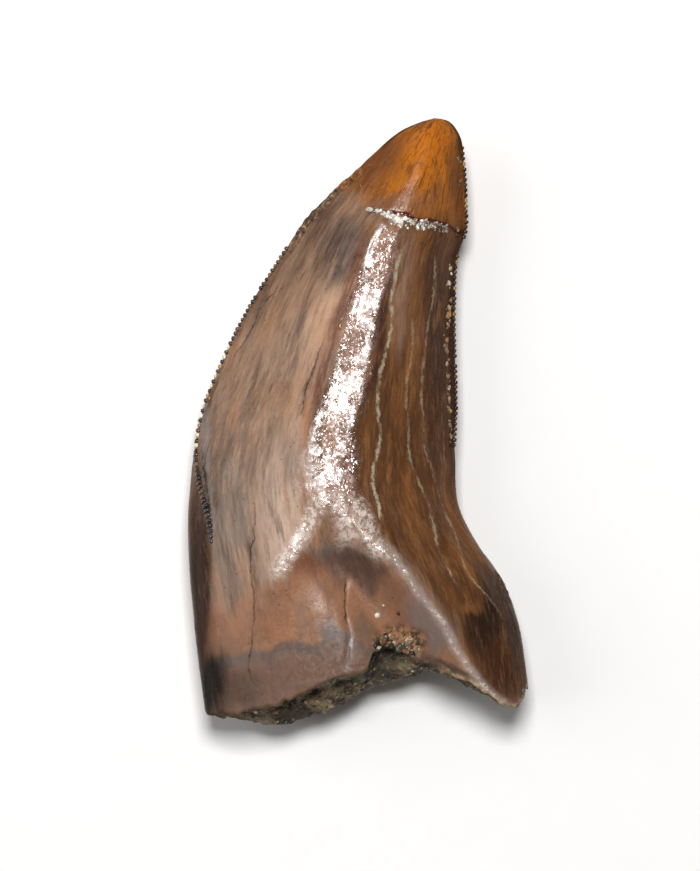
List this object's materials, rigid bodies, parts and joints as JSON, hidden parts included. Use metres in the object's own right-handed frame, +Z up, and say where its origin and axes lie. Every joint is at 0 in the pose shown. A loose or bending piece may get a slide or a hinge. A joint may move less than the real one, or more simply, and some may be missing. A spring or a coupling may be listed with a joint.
{
  "type": "fossil nanotyrannus tooth",
  "caption": "Curved, serrated crown of a small meat-eating dinosaur's tooth, fossilised, lying on its side with rock in its broken root.",
  "frame": {"origin": "on the resting surface, under the middle of the tooth's outline", "axes": "+Y along the crown from the broken root to the tip, +X from the front serrated edge to the rear one, +Z up from the surface that the tooth lies on"},
  "size_m": [0.0171, 0.0303, 0.0073],
  "materials": {
    "enamel": "glossy brown enamel, mottled, with fine cracks and pale veins",
    "sediment": "rough sandy rock with dark and pale grains"
  },
  "bodies": {
    "root": {"tooth": "enamel", "sediment_fill": "sediment"}
  },
  "joints": []
}
